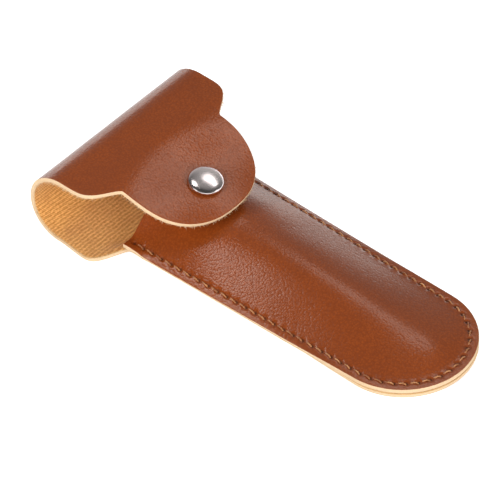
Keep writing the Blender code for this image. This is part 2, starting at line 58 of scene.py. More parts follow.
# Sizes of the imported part
LEATHER = 1.7 * MM
SEAM_GAP = 0.25 * MM
LENGTH = 162.0 * MM
MOUTH_FROM_FOLD = 34.4 * MM
MOUTH_WIDTH = 56.2 * MM
TIP_WIDTH = 52.2 * MM
EAR_WIDTH = 76.0 * MM
EAR_BULGE = 1.2 * MM
EAR_BULGE_RUN = 14.0 * MM
EAR_STEP_LENGTH = 16.0 * MM
EAR_STEP_PAST_MOUTH = 2.0 * MM
EAR_STEP_POWER = 3.0
EAR_LIFT_RUN = 8.5 * MM
CURL_RADIUS = 13.4 * MM
FLAP_FLAT = 11.1 * MM
FLAP_BEND_RADIUS = 52.0 * MM
FLAP_SLOPE = radians(21)
FLAP_EAR_WIDTH = 73.4 * MM
FLAP_EAR_STEP = 19.3 * MM
FLAP_STEP_POWER = 2.85
TONGUE_CENTRE = 21.1 * MM
TONGUE_WIDTH = 50.9 * MM
TONGUE_REACH = 28.1 * MM
TONGUE_POWER = 2.3
SNAP_PAST_TONGUE_CENTRE = 14.1 * MM
SEAT_TILT = radians(8.5)
SEAT_RADIUS = 2.0 * MM
SEAT_BLEND = 26.0 * MM
CREST_BODY = 12.8 * MM
CREST_TIP = 7.4 * MM
CREST_POWER = 2.9
CREST_BLEND = 0.4 * MM
CREST_PAST_ARC = 10.0 * MM
MOUTH_RISE = 2.2 * MM
MOUTH_RISE_RUN = 8.0 * MM
SOFTNESS_MOUTH = 2.2
SOFTNESS_TIP = 0.42
SOFTNESS_RUN = 46.0 * MM
RIM = 4.2 * MM
RIM_TIP_ANGLE = radians(26)
RIM_TIP_RUN = 12.0 * MM
RIM_LEVEL_FROM = 0.2
RIM_RAMP = 8.0 * MM
BACK_INSET = 1.4 * MM
INSET_BEFORE_ARC = 46.0 * MM
INSET_PAST_ARC = 14.0 * MM
STITCH_INSET = 3.1 * MM
STITCH_PITCH = 4.15 * MM
STITCH_START = 2.6 * MM
THREAD_ROOM = 0.8 * MM
CAP_RADIUS = 6.3 * MM
CAP_HEIGHT = 2.9 * MM
CAP_WALL = 0.31
CAP_DOME_POWER = 2.6
CAP_SHOULDER_POWER = 1.8
METAL = 0.35 * MM
POST_RADIUS = 2.0 * MM
BORE_CLEARANCE = 0.35 * MM
SOCKET_RADIUS = 5.2 * MM
STUD_BASE_RADIUS = 4.8 * MM
STUD_HEAD_RADIUS = 2.75 * MM
STUD_HEAD_HEIGHT = 0.8 * MM
STUD_NECK_RADIUS = 2.2 * MM
EYELET_RADIUS = 1.35 * MM
WIRE_RADIUS = 0.28 * MM
SNAP_GAP = 0.25 * MM
SPRING_OPENING = radians(50)
POST_ROUND = 0.12 * MM
SOCKET_ROUND = 0.14 * MM
STUD_ROUND = 0.16 * MM
CORNER_SHARE = 0.45
BORE_PAST = 3 * LEATHER

# The cap's rolled foot: shares of the cap's radius and of the metal's thickness
CAP_FOOT = ((1.004, 1.0), (0.995, 0.4), (0.975, 0.0))

# Fine shape of the leather
EDGE_ROUND = 0.26 * MM
EDGE_WEAR = 0.7 * MM
TONGUE_MIDDLE = 12.0 * MM
RIPPLE = 0.05 * MM
RIPPLE_LENGTH = 14.0 * MM
RIPPLE_SEED = 3.7
TOE = 0.05
DENT_DEPTH = 0.55 * MM
DENT_RADIUS = 0.75 * MM
DENT_REACH = 3 * DENT_RADIUS
GROOVE_DEPTH = 0.14 * MM
GROOVE_WIDTH = 0.55 * MM
HOLE_RADIUS = 0.55 * MM

# Loose fibres of the cut edges: sizes, then the ranges that their roots and headings are drawn from
FIBRE_PITCH = 0.25 * MM
FIBRE_LENGTH = 1.15 * MM
FIBRE_RADIUS = 0.12 * MM
FIBRE_SUNK = 2 * FIBRE_RADIUS
FIBRE_BAND = 0.6 * LEATHER
FIBRE_OUTSET = 0.6 * EDGE_ROUND
FIBRE_HEIGHTS = (0.1, 0.6)
FIBRE_OUT = (0.2, 1.0)
FIBRE_DOWN = (-0.1, 0.9)
FIBRE_ALONG = (-0.9, 0.9)
FIBRE_LENGTHS = (0.4, 1.3)

# Thread
PLY_RADIUS = 0.17 * MM
PLY_SWING = 0.12 * MM
PLY_TWIST = 1.5 * MM
STITCH_SLANT = 0.42 * MM
STITCH_DIP = 1.1 * MM
STITCH_LIFT = 0.22 * MM
STITCH_ARCH = 1.7
STITCH_LEAN = 0.6

# Fineness of the meshes
SEWN_PITCH = 0.42 * MM
STRAP_PITCH = 0.5 * MM
PLAIN_PITCH = 0.8 * MM
LATHE_STEPS = 72
DOME_STEPS = 40
CORNER_STEPS = 4
STITCH_STEPS = 18
PLY_SIDES = 6
WIRE_SIDES = 12
WELD = 0.002 * MM
METAL_WELD = 0.0001 * MM
CREASE = radians(50)
THREAD_CREASE = radians(60)
METAL_CREASE = radians(40)

# Places that follow from the sizes above
X_FOLD = -LENGTH / 2
X_TIP = LENGTH / 2
X_CURL = X_FOLD + CURL_RADIUS
X_MOUTH = X_FOLD + MOUTH_FROM_FOLD
TIP_RADIUS = TIP_WIDTH / 2
X_ARC = X_TIP - TIP_RADIUS
X_STEP_END = X_MOUTH + EAR_STEP_PAST_MOUTH
X_STEP_START = X_STEP_END - EAR_STEP_LENGTH
RIM_THICKNESS = 2 * LEATHER + SEAM_GAP
CURL_LENGTH = pi * CURL_RADIUS
S_TONGUE = CURL_LENGTH + TONGUE_CENTRE
S_SNAP = S_TONGUE + SNAP_PAST_TONGUE_CENTRE
S_CUTS = (CURL_LENGTH / 3, 2 * CURL_LENGTH / 3)
CAP_LIP = CAP_RADIUS - 6 * METAL

# Heights on the snap's axis, measured up from the flap's outer face
H_SOCKET_TOP = -LEATHER - SNAP_GAP
H_FLARE_TOP = H_SOCKET_TOP - METAL - SNAP_GAP
H_FLARE_LOW = H_FLARE_TOP - METAL
H_STUD_TOP = H_FLARE_LOW - SNAP_GAP
H_HEAD_LOW = H_STUD_TOP - STUD_HEAD_HEIGHT
H_SPRING = H_HEAD_LOW - SNAP_GAP - WIRE_RADIUS
H_SOCKET_LOW = H_SPRING - WIRE_RADIUS - SNAP_GAP - METAL
H_BASE_TOP = H_SOCKET_LOW - SNAP_GAP
H_BASE_LOW = H_BASE_TOP - METAL
H_FRONT = H_BASE_LOW - SNAP_GAP
H_FRONT_INNER = H_FRONT - LEATHER


def ease(u):
    """Smooth step from 0 to 1."""
    u = min(1.0, max(0.0, u))
    return u * u * (3 - 2 * u)


def mix(a, b, u):
    return a + (b - a) * u


def spread(start, end, steps):
    return [mix(start, end, i / steps) for i in range(steps + 1)]


def steps_for(length, pitch):
    return max(2, round(abs(length) / pitch))


def places_between(start, end, pitch):
    return spread(start, end, steps_for(end - start, pitch))


def ring_of(centre, a, b, radius, sides):
    """Points round a centre, in the plane of two directions."""
    turns = [2 * pi * k / sides for k in range(sides)]
    return [centre + (a * cos(turn) + b * sin(turn)) * radius for turn in turns]


def body_half_width(x):
    """Half the width of the pocket where it is straight."""
    return mix(MOUTH_WIDTH, TIP_WIDTH, (x - X_MOUTH) / (X_ARC - X_MOUTH)) / 2


def back_inset(x):
    """How far inside the front's edge the back is cut."""
    start = X_ARC - INSET_BEFORE_ARC
    end = X_ARC + INSET_PAST_ARC
    return BACK_INSET * (1 - ease((x - start) / (end - start)))


def fold_half_width(s):
    """Half the width of the fold, which narrows round the curl."""
    return mix(EAR_WIDTH, FLAP_EAR_WIDTH, ease(s / CURL_LENGTH)) / 2


def back_half_width(x):
    """Half the width of the back panel, with the rounded step out to the ears."""
    along_step = min(1.0, max(0.0, (x - X_STEP_START) / EAR_STEP_LENGTH))
    ear = fold_half_width(X_CURL - x) + EAR_BULGE * ease((x - X_CURL) / EAR_BULGE_RUN)
    body = body_half_width(max(x, X_MOUTH)) - back_inset(x)
    return mix(ear, body, ease(along_step ** EAR_STEP_POWER))


def flap_half_width(s):
    """Half the width of the fold and flap at length s along the leather, up to the tongue."""
    along_step = min(1.0, max(0.0, (s - CURL_LENGTH) / FLAP_EAR_STEP))
    return mix(fold_half_width(s), TONGUE_WIDTH / 2, ease(along_step ** FLAP_STEP_POWER))


def leather_line(s):
    """Outer face of the fold and flap at length s from the foot of the curl: x, z and outward angle."""
    if s <= 0:
        return X_CURL - s, 0.0, -pi
    if s <= CURL_LENGTH:
        turn = s / CURL_RADIUS
        x = X_CURL - CURL_RADIUS * sin(turn)
        return x, CURL_RADIUS * (1 - cos(turn)), turn - pi
    s -= CURL_LENGTH
    if s <= FLAP_FLAT:
        return X_CURL + s, 2 * CURL_RADIUS, 0.0
    s -= FLAP_FLAT
    turn = min(s / FLAP_BEND_RADIUS, FLAP_SLOPE)
    x = X_CURL + FLAP_FLAT + FLAP_BEND_RADIUS * sin(turn)
    z = 2 * CURL_RADIUS - FLAP_BEND_RADIUS * (1 - cos(turn))
    s -= FLAP_BEND_RADIUS * turn
    return x + s * cos(turn), z - s * sin(turn), turn


SNAP_X, SNAP_Z = leather_line(S_SNAP)[:2]
SNAP_AXIS = Vector((sin(SEAT_TILT), 0.0, cos(SEAT_TILT)))
SNAP_POINT = Vector((SNAP_X, 0.0, SNAP_Z))


def flap_place(s, y):
    """Outer face of the fold and flap at length s and width y, and its outward direction."""
    x, z, angle = leather_line(s)
    along = s - S_SNAP
    seat = 1 - ease((hypot(along, y) - SEAT_RADIUS) / SEAT_BLEND)
    x = mix(x, SNAP_X + along * cos(SEAT_TILT), seat)
    z = mix(z, SNAP_Z - along * sin(SEAT_TILT), seat)
    angle = mix(angle, SEAT_TILT, seat)
    return Vector((x, y, z)), Vector((sin(angle), 0.0, cos(angle)))


def rim_angle(x):
    """How far the sewn rim tips down outward: level at the ears and at the tip."""
    start = mix(X_MOUTH, X_TIP, RIM_LEVEL_FROM)
    along = 1 - ease((x - start) / (X_TIP - start))
    past_ears = ease((x - X_STEP_END) / RIM_TIP_RUN)
    return RIM_TIP_ANGLE * along * past_ears


def rim_lift(x):
    """Height of the rim's lower edge: room for the thread under a rim that is level."""
    room = THREAD_ROOM - STITCH_INSET * sin(rim_angle(x))
    return max(0.0, room) * ease(1 - (X_MOUTH - x) / EAR_LIFT_RUN)


def crest_height(x):
    """Top of the front panel on the middle line: flared at the mouth, parallel to the flap there."""
    under_flap = SNAP_Z + H_FRONT / cos(SEAT_TILT)
    flare = under_flap - (x - SNAP_X) * tan(SEAT_TILT)
    flare += MOUTH_RISE * ease(1 - (x - X_MOUTH) / MOUTH_RISE_RUN)
    along = max(0.0, (x - X_MOUTH) / (X_ARC + CREST_PAST_ARC - X_MOUTH))
    body = mix(CREST_BODY, CREST_TIP, along ** CREST_POWER)
    apart = flare - body
    return (flare + body + sqrt(apart * apart + CREST_BLEND ** 2)) / 2


def bulge(u, x):
    """Share of the crest height at share u of the way from the rim to the middle line."""
    soft = mix(SOFTNESS_MOUTH, SOFTNESS_TIP, ease((x - X_MOUTH) / SOFTNESS_RUN))
    low = sqrt(1 + soft * soft)
    return (low - sqrt((1 - u) ** 2 + soft * soft)) / (low - soft)


def ripple(a, y):
    """Slight unevenness of the leather's face."""
    return RIPPLE * noise.noise(Vector((a / RIPPLE_LENGTH, y / RIPPLE_LENGTH, RIPPLE_SEED)))


# Leather surfaces. A row is a distance in from the edge, and a share of the rest of the way to the middle.


def strap_surface(edge, inward, middle, row):
    """Outer face of the fold and flap: flat places are length along the leather, and y."""
    distance, share = row
    flat = (edge + inward * distance).lerp(middle, share)
    point, out = flap_place(flat.x, flat.y)
    return point + out * ripple(flat.x, flat.y), flat


def back_surface(edge, inward, middle, row):
    """Outer face of the back, underneath: the rim tips up inward, then settles on the table."""
    distance, share = row
    if edge.x < X_CURL:
        curled = [Vector((X_CURL - v.x, v.y)) for v in (edge, middle)]
        return strap_surface(curled[0], inward, curled[1], row)
    angle = rim_angle(edge.x)
    inset = back_inset(edge.x)
    distance -= inset * min(1.0, (distance - EDGE_ROUND) / (STITCH_INSET - DENT_RADIUS))
    on_rim = min(distance, RIM - inset)
    past_rim = distance - on_rim
    start = RIM_THICKNESS * sin(angle)
    flat = (edge + inward * (start + on_rim * cos(angle) + past_rim)).lerp(middle, share)
    lift = rim_lift(edge.x) + inset * tan(angle) + on_rim * sin(angle)
    z = lift * (1 - ease(past_rim / RIM_RAMP))
    return Vector((flat.x, flat.y, z)), Vector((X_CURL - flat.x, flat.y))


def front_surface(edge, inward, middle, row):
    """Outer face of the moulded front: the sewn rim, a soft toe, then the bulge up to the crest."""
    distance, share = row
    angle = rim_angle(edge.x)
    foot = edge + inward * distance * cos(angle)
    foot_z = rim_lift(edge.x) + RIM_THICKNESS * cos(angle) + distance * sin(angle)
    flat = foot.lerp(middle, share)
    if not share:
        return Vector((flat.x, flat.y, foot_z)), flat
    crest_z = crest_height(middle.x)
    small = 0.001
    bulge_slope = (crest_z - foot_z) * bulge(small, edge.x) / small
    rim_slope = (middle - foot).length * tan(angle)
    toe = (bulge_slope - rim_slope) * TOE
    z = mix(foot_z, crest_z, bulge(share, edge.x))
    z += toe * (exp(-share / TOE) - 1 + share * (1 - exp(-1 / TOE)))
    return Vector((flat.x, flat.y, z + ripple(flat.x, flat.y) * share)), flat


def tip_arc(inset):
    """Columns round the tip of the pocket: edge, inward, middle."""
    for turn in spread(-pi / 2, pi / 2, steps_for(pi * TIP_RADIUS, SEWN_PITCH)):
        out = Vector((cos(turn), sin(turn)))
        radius = TIP_RADIUS - inset(X_ARC + out.x * TIP_RADIUS)
        middle = Vector((X_ARC + CREST_PAST_ARC * cos(turn), 0))
        yield Vector((X_ARC, 0)) + out * radius, -out, middle


def tongue_arc():
    """Columns round the flap's tongue: edge, inward, middle."""
    half = TONGUE_WIDTH / 2
    for turn in spread(-pi / 2, pi / 2, steps_for(pi * half, PLAIN_PITCH)):
        side = copysign(1.0, turn)
        along = max(0.0, cos(turn)) ** (2 / TONGUE_POWER)
        across = abs(sin(turn)) ** (2 / TONGUE_POWER)
        bend = TONGUE_POWER - 1
        out = Vector((along ** bend / TONGUE_REACH, side * across ** bend / half)).normalized()
        middle = Vector((S_TONGUE + TONGUE_MIDDLE * cos(turn), 0))
        yield Vector((S_TONGUE + TONGUE_REACH * along, side * half * across)), -out, middle


def near_columns(stations, half_width):
    """Columns along the near side of a panel: edge, inward, middle."""
    return [(Vector((a, -half_width(a))), Vector((0, 1)), Vector((a, 0))) for a in stations]


def far_columns(columns):
    """The same columns on the far side."""
    flip = Vector((1, -1))
    return [(edge * flip, inward * flip, middle) for edge, inward, middle in columns]


def outline(stations, half_width, arc):
    """Columns over a panel from its near end, round its arc, to its far end."""
    near = near_columns(stations, half_width)
    return near + list(arc) + far_columns(reversed(near))


def edge_path():
    """Steps over a cut edge, from the outer face to the inner one: distance in, and depth."""
    turns = [radians(angle) for angle in (30, 60, 90)]
    over = [(EDGE_ROUND * (1 - sin(t)), EDGE_ROUND * (1 - cos(t))) for t in turns]
    between = [(0.0, LEATHER * share) for share in (0.35, 0.5, 0.65)]
    under = [(inset, LEATHER - depth) for inset, depth in reversed(over)]
    return over + between + under


EDGE_PATH = edge_path()

# Places in a piece's list of materials
GRAIN, CUT, FLESH = range(3)


def unit(vectors):
    return vectors / np.linalg.norm(vectors, axis=-1, keepdims=True)


def grid_normals(points, outward):
    """Normals of a grid of points, on the side that outward names at its first corner."""
    normals = np.cross(np.gradient(points, axis=0), np.gradient(points, axis=1))
    normals[:, -1] = normals[:, -2] * (1, 0, 1)
    normals = unit(normals)
    return normals * np.sign(normals[0, 0] @ np.array(outward))


class Leather:
    """A piece of leather under construction: runs of columns, closed into one body."""

    def __init__(self):
        self.points = []
        self.faces = []
        self.materials = []
        self.places = []
        self.shares = {"edge": [], "hole": [], "depth": []}

    def add_run(self, columns, rows, surface, outward, holes=None):
        """Add one run of columns, with both faces, its cut edge and its two ends.

        Returns the inner corner of the cut edge, the way out from it and its normals.
        """
        laid = [[surface(*column, row) for row in rows] for column in columns]
        outer = np.array([[point for point, flat in column] for column in laid])
        flats = np.array([[flat for point, flat in column] for column in laid]) / MM
        normals = grid_normals(outer, outward)
        out = unit(outer[:, 0] - outer[:, 1])
        rim = []
        for inset, drop in EDGE_PATH:
            rim.append(outer[:, 0] + out * (EDGE_ROUND - inset) - normals[:, 0] * drop)
        inner = outer - normals * LEATHER
        hole = np.zeros(outer.shape[:2])
        if holes:
            hole = self.press(outer, normals, rows, holes)
        count = len(rows)
        grid = np.concatenate([outer[:, ::-1], np.stack(rim, 1), inner], axis=1)
        place = np.concatenate([flats[:, ::-1], flats[:, :1].repeat(len(rim), 1), flats], axis=1)
        near = np.array([0.0 if share else exp(-distance / EDGE_WEAR) for distance, share in rows])
        edge = np.concatenate([near[::-1], np.ones(len(rim)), near])
        depth = np.concatenate([np.zeros(count), [d / LEATHER for _, d in EDGE_PATH], np.ones(count)])
        hole = np.pad(hole[:, ::-1], ((0, 0), (0, len(rim) + count)))
        first = len(self.points)
        self.points += [tuple(p) for p in grid.reshape(-1, 3)]
        self.places += [tuple(p) for p in place.reshape(-1, 2)]
        self.shares["edge"] += list(np.tile(edge, len(columns)))
        self.shares["depth"] += list(np.tile(depth, len(columns)))
        self.shares["hole"] += list(hole.ravel())
        self.close(first, len(columns), count, grid.shape[1])
        return inner[:, 0], out, normals[:, 0]

    def press(self, outer, normals, rows, holes):
        """Sink the outer face round the stitch holes and along the seam; returns the share of a hole."""
        tree = kdtree.KDTree(len(holes))
        for i, place in enumerate(holes):
            tree.insert(place, i)
        tree.balance()
        hole = np.zeros(outer.shape[:2])
        for r, (distance, share) in enumerate(rows):
            across = distance - STITCH_INSET
            if share or abs(across) > DENT_REACH:
                continue
            groove = GROOVE_DEPTH * exp(-(across / GROOVE_WIDTH) ** 2)
            for c in range(len(outer)):
                gap = tree.find(outer[c, r])[2]
                sink = DENT_DEPTH * exp(-(gap / DENT_RADIUS) ** 2)
                hole[c, r] = exp(-(gap / HOLE_RADIUS) ** 2)
                if gap < STITCH_PITCH:
                    sink += groove
                outer[c, r] -= normals[c, r] * sink
        return hole

    def close(self, first, columns, count, total):
        """Faces of a run: along the section, where the grain goes one step over the edge, and its ends."""
        kinds = [GRAIN] * count + [CUT] * (total - 2 * count) + [FLESH] * (count - 1)
        for c in range(columns - 1):
            for r in range(total - 1):
                a = first + c * total + r
                b = a + total
                self.faces.append((a, b, b + 1, a + 1))
            self.materials += kinds
        for start in (first, first + (columns - 1) * total):
            for r in range(count - 1):
                low = start + total - 1 - r
                self.faces.append((start + r, start + r + 1, low - 1, low))
            self.faces.append(tuple(range(start + count - 1, start + total - count + 1)))
            self.materials += [CUT] * count

    def add_fibres(self, corner, out, normals, first, last):
        """Loose fibres on the inner corner of the cut edge, between two columns."""
        length = np.linalg.norm(np.diff(corner[first:last], axis=0), axis=1).sum()
        for _ in range(int(length / FIBRE_PITCH)):
            c = random.randrange(first, last - 1)
            along = corner[c + 1] - corner[c]
            root = corner[c] + along * random.random() + out[c] * FIBRE_OUTSET
            root = root + normals[c] * random.uniform(*FIBRE_HEIGHTS) * FIBRE_BAND
            along = unit(along)
            heading = out[c] * random.uniform(*FIBRE_OUT) - normals[c] * random.uniform(*FIBRE_DOWN)
            heading = unit(heading + along * random.uniform(*FIBRE_ALONG))
            tip = root + heading * FIBRE_LENGTH * random.uniform(*FIBRE_LENGTHS)
            self.add_spike(root - heading * FIBRE_SUNK, tip, along, np.cross(along, heading))

    def add_spike(self, root, tip, side, up):
        """One fibre, a slim pyramid on three corners."""
        start = len(self.points)
        self.points += [tuple(p) for p in ring_of(root, side, up, FIBRE_RADIUS, 3) + [tip]]
        for face in ((0, 1, 3), (1, 2, 3), (2, 0, 3), (0, 2, 1)):
            self.faces.append(tuple(start + i for i in face))
        self.materials += [CUT] * 4
        self.places += [(0.0, 0.0)] * 4
        for label, value in (("edge", 1.0), ("hole", 0.0), ("depth", 0.5)):
            self.shares[label] += [value] * 4

    def finish(self, name, materials):
        """The object, welded on the middle line, with its places and shares as mesh attributes."""
        mesh = new_mesh(name, self.points, self.faces)
        mesh.polygons.foreach_set("material_index", self.materials)
        for label, values in self.shares.items():
            layer = mesh.attributes.new(label, "FLOAT", "POINT")
            layer.data.foreach_set("value", np.array(values, dtype=np.float32))
        corners = np.zeros(len(mesh.loops), dtype=np.int32)
        mesh.loops.foreach_get("vertex_index", corners)
        lay = mesh.uv_layers.new(name="lay")
        lay.uv.foreach_set("vector", np.array(self.places, dtype=np.float32)[corners].ravel())
        face_outward(mesh, WELD)
        return place_mesh(name, mesh, materials)


def add_object(name, data):
    obj = bpy.data.objects.new(name, data)
    scene.collection.objects.link(obj)
    return obj


def new_mesh(name, points, faces):
    mesh = bpy.data.meshes.new(name)
    mesh.from_pydata(points, [], faces)
    return mesh


def face_outward(mesh, weld=0.0):
    """Weld points that lie closer than a distance, and turn every face outward."""
    bm = bmesh.new()
    bm.from_mesh(mesh)
    if weld:
        bmesh.ops.remove_doubles(bm, verts=bm.verts, dist=weld)
    bmesh.ops.recalc_face_normals(bm, faces=bm.faces)
    bm.to_mesh(mesh)
    bm.free()


def place_mesh(name, mesh, materials, crease=CREASE):
    """Link a mesh as a smooth object with creases where faces meet sharply."""
    for material in materials:
        mesh.materials.append(material)
    mesh.shade_smooth()
    mesh.set_sharp_from_angle(angle=crease)
    return add_object(name, mesh)


def seam_points():
    """Places of the stitch holes along the U seam: centre on the upper face, normal, across."""
    inner_radius = TIP_RADIUS - STITCH_INSET
    straight = X_ARC - X_MOUTH - STITCH_START
    total = 2 * straight + pi * inner_radius
    count = round(total / STITCH_PITCH)
    holes = []
    for i in range(count + 1):
        s = total * i / count
        side = 1 if s > total / 2 else -1
        from_mouth = min(s, total - s)
        if from_mouth <= straight:
            x = X_MOUTH + STITCH_START + from_mouth
            edge = Vector((x, side * body_half_width(x), 0.0))
            inward = Vector((0.0, -side, 0.0))
        else:
            turn = (s - straight) / inner_radius - pi / 2
            out = Vector((cos(turn), sin(turn), 0.0))
            edge = Vector((X_ARC, 0.0, 0.0)) + out * TIP_RADIUS
            inward = -out
        angle = rim_angle(edge.x)
        along = inward * cos(angle) + Vector((0, 0, sin(angle)))
        normal = Vector((0, 0, cos(angle))) - inward * sin(angle)
        top = Vector((edge.x, edge.y, rim_lift(edge.x) + RIM_THICKNESS * cos(angle)))
        holes.append((top + along * STITCH_INSET, normal, along))
    return holes


def stitch_path(start, end, side):
    """One stitch from hole to hole, slanting across the seam: points with the direction across it."""
    path = []
    for u in spread(0.0, 1.0, STITCH_STEPS):
        base, up, across = [a.lerp(b, u) for a, b in zip(start, end)]
        up = up.normalized() * side
        across = across.normalized()
        low = abs(1 - 2 * (1 - u) ** STITCH_LEAN) ** STITCH_ARCH
        height = mix(STITCH_LIFT, -STITCH_DIP, low)
        if side < 0:
            base = base + up * RIM_THICKNESS
        path.append((base + across * mix(STITCH_SLANT, -STITCH_SLANT, u) + up * height, across))
    return path


def ply_rings(path, first_turn):
    """Rings along one ply, which winds round the path of its stitch."""
    rings = []
    run = 0.0
    last = len(path) - 1
    for i, (place, across) in enumerate(path):
        if i:
            run += (place - path[i - 1][0]).length
        turn = 2 * pi * run / PLY_TWIST + first_turn
        heading = (path[min(i + 1, last)][0] - path[max(i - 1, 0)][0]).normalized()
        rise = across.cross(heading).normalized()
        centre = place + (rise * cos(turn) + across * sin(turn)) * PLY_SWING
        rings.append(ring_of(centre, rise, across, PLY_RADIUS, PLY_SIDES))
    return rings


def tube_mesh(name, tubes, capped=True):
    """Mesh of tubes, each a list of rings of points, with ends that are closed or open."""
    points = []
    faces = []
    for rings in tubes:
        sides = len(rings[0])
        first = len(points)
        points += [tuple(p) for ring in rings for p in ring]
        for a in range(first, len(points) - sides, sides):
            for i in range(sides):
                j = (i + 1) % sides
                faces.append((a + i, a + j, a + sides + j, a + sides + i))
        if capped:
            faces.append(tuple(reversed(range(first, first + sides))))
            faces.append(tuple(range(len(points) - sides, len(points))))
    return new_mesh(name, points, faces)


def thread(name, holes, side, material):
    """All stitches on one side of the seam, each of two twisted plies."""
    tubes = []
    for start, end in zip(holes, holes[1:]):
        path = stitch_path(start, end, side)
        phase = random.uniform(0, pi)
        tubes += [ply_rings(path, ply * pi + phase) for ply in (0, 1)]
    mesh = tube_mesh(name, tubes)
    mesh.validate()
    face_outward(mesh)
    return place_mesh(name, mesh, [material], THREAD_CREASE)


# Snap pieces, turned about the snap's axis


def snap_place(radius, height, turn):
    across = Vector((0.0, 1.0, 0.0))
    along = across.cross(SNAP_AXIS)
    swing = along * cos(turn) + across * sin(turn)
    return SNAP_POINT + SNAP_AXIS * height + swing * radius


def soften(profile, radius, closed):
    """Round the corners of an outline of (radius, height) pairs."""
    rounded = []
    count = len(profile)
    for i, corner in enumerate(profile):
        if not closed and i in (0, count - 1):
            rounded.append(corner)
            continue
        here = Vector(corner)
        before = Vector(profile[i - 1]) - here
        after = Vector(profile[(i + 1) % count]) - here
        a = here + before.normalized() * min(radius, before.length * CORNER_SHARE)
        b = here + after.normalized() * min(radius, after.length * CORNER_SHARE)
        for u in spread(0.0, 1.0, CORNER_STEPS):
            rounded.append(tuple(a.lerp(here, u).lerp(here.lerp(b, u), u)))
    return rounded


def lathe(name, profile, material, rounding=0.0, closed=False):
    """Turn an outline of (radius, height) pairs about the snap's axis, its corners rounded if asked."""
    if rounding:
        profile = soften(profile, rounding, closed)
    turns = [2 * pi * i / LATHE_STEPS for i in range(LATHE_STEPS)]
    rings = [[snap_place(*spot, turn) for turn in turns] for spot in profile]
    if closed:
        rings.append(rings[0])
    mesh = tube_mesh(name, [rings], capped=False)
    face_outward(mesh, METAL_WELD)
    return place_mesh(name, mesh, [material], METAL_CREASE)


def dome_height(r):
    """Share of the cap's height at share r of its radius: a flat top, a tight shoulder, then the wall."""
    return mix(CAP_WALL, 1.0, (1 - r ** CAP_DOME_POWER) ** (1 / CAP_SHOULDER_POWER))


def cap_shell(material):
    """Domed cap: nearly flat in the middle, with a tight shoulder and a wall turned in underneath."""
    low = SNAP_GAP
    shares = [sin(turn) for turn in spread(0.0, pi / 2, DOME_STEPS)]

    def dome(radius, height):
        return [(radius * r, low + height * dome_height(r)) for r in shares]

    profile = dome(CAP_RADIUS, CAP_HEIGHT)
    profile += [(CAP_RADIUS * out, low + METAL * up) for out, up in CAP_FOOT]
    profile += [(CAP_LIP, low), (CAP_LIP, low + METAL), (CAP_RADIUS - METAL, low + METAL)]
    profile += reversed(dome(CAP_RADIUS - METAL, CAP_HEIGHT - METAL))
    return lathe("cap_shell", profile, material)


def cap_post(material):
    """Tubular rivet: a head held in the cap, a barrel through the flap, flared inside the socket."""
    head_low = SNAP_GAP + METAL + SNAP_GAP
    head_radius = CAP_LIP + 2 * METAL
    flare_radius = POST_RADIUS + 2 * METAL
    inner = POST_RADIUS - METAL
    profile = [
        (0.0, head_low + METAL), (head_radius, head_low + METAL), (head_radius, head_low),
        (POST_RADIUS, head_low), (POST_RADIUS, H_FLARE_TOP), (flare_radius, H_FLARE_TOP),
        (flare_radius, H_FLARE_LOW), (inner, H_FLARE_LOW), (inner, head_low - METAL),
        (0.0, head_low - METAL),
    ]
    return lathe("cap_post", profile, material, POST_ROUND)


def socket_ring(material):
    """Ring under the flap: a plate held by the post's flare, and a wall with a groove for the spring."""
    plate_hole = POST_RADIUS + SNAP_GAP
    groove = STUD_NECK_RADIUS + 4 * WIRE_RADIUS + SNAP_GAP
    mouth = STUD_HEAD_RADIUS + SNAP_GAP
    outer = groove + 2 * METAL
    profile = [
        (plate_hole, H_SOCKET_TOP), (SOCKET_RADIUS, H_SOCKET_TOP),
        (SOCKET_RADIUS, H_SOCKET_TOP - METAL), (outer, H_SOCKET_TOP - 2 * METAL),
        (outer, H_SOCKET_LOW + METAL), (outer - METAL, H_SOCKET_LOW), (mouth, H_SOCKET_LOW),
        (mouth, H_SOCKET_LOW + METAL), (groove, H_SOCKET_LOW + METAL),
        (groove, H_SOCKET_TOP - METAL), (plate_hole, H_SOCKET_TOP - METAL),
    ]
    return lathe("socket_ring", profile, material, SOCKET_ROUND, closed=True)


def spring_ring(material):
    """Split wire ring that closes on the stud's neck under its head."""
    ring_radius = STUD_NECK_RADIUS + SNAP_GAP + WIRE_RADIUS
    middle = Vector((ring_radius, H_SPRING))
    section = ring_of(middle, Vector((1, 0)), Vector((0, 1)), WIRE_RADIUS, WIRE_SIDES)
    turns = spread(SPRING_OPENING / 2, 2 * pi - SPRING_OPENING / 2, LATHE_STEPS)
    rings = [[snap_place(*spot, turn) for spot in section] for turn in turns]
    return place_mesh("spring_ring", tube_mesh("spring_ring", [rings]), [material])


def stud(material):
    """Hollow stud: a base on the front panel, a neck for the spring, and a rounded head."""
    bore = EYELET_RADIUS + SNAP_GAP
    roof = H_STUD_TOP - METAL
    profile = [
        (0.0, roof), (bore, roof), (bore, H_BASE_LOW), (STUD_BASE_RADIUS, H_BASE_LOW),
        (STUD_BASE_RADIUS, H_BASE_TOP), (STUD_NECK_RADIUS, H_BASE_TOP),
        (STUD_NECK_RADIUS, H_HEAD_LOW - METAL / 2), (STUD_HEAD_RADIUS, H_HEAD_LOW),
        (STUD_HEAD_RADIUS, H_STUD_TOP - METAL), (STUD_NECK_RADIUS, H_STUD_TOP), (0.0, H_STUD_TOP),
    ]
    return lathe("stud", profile, material, STUD_ROUND)


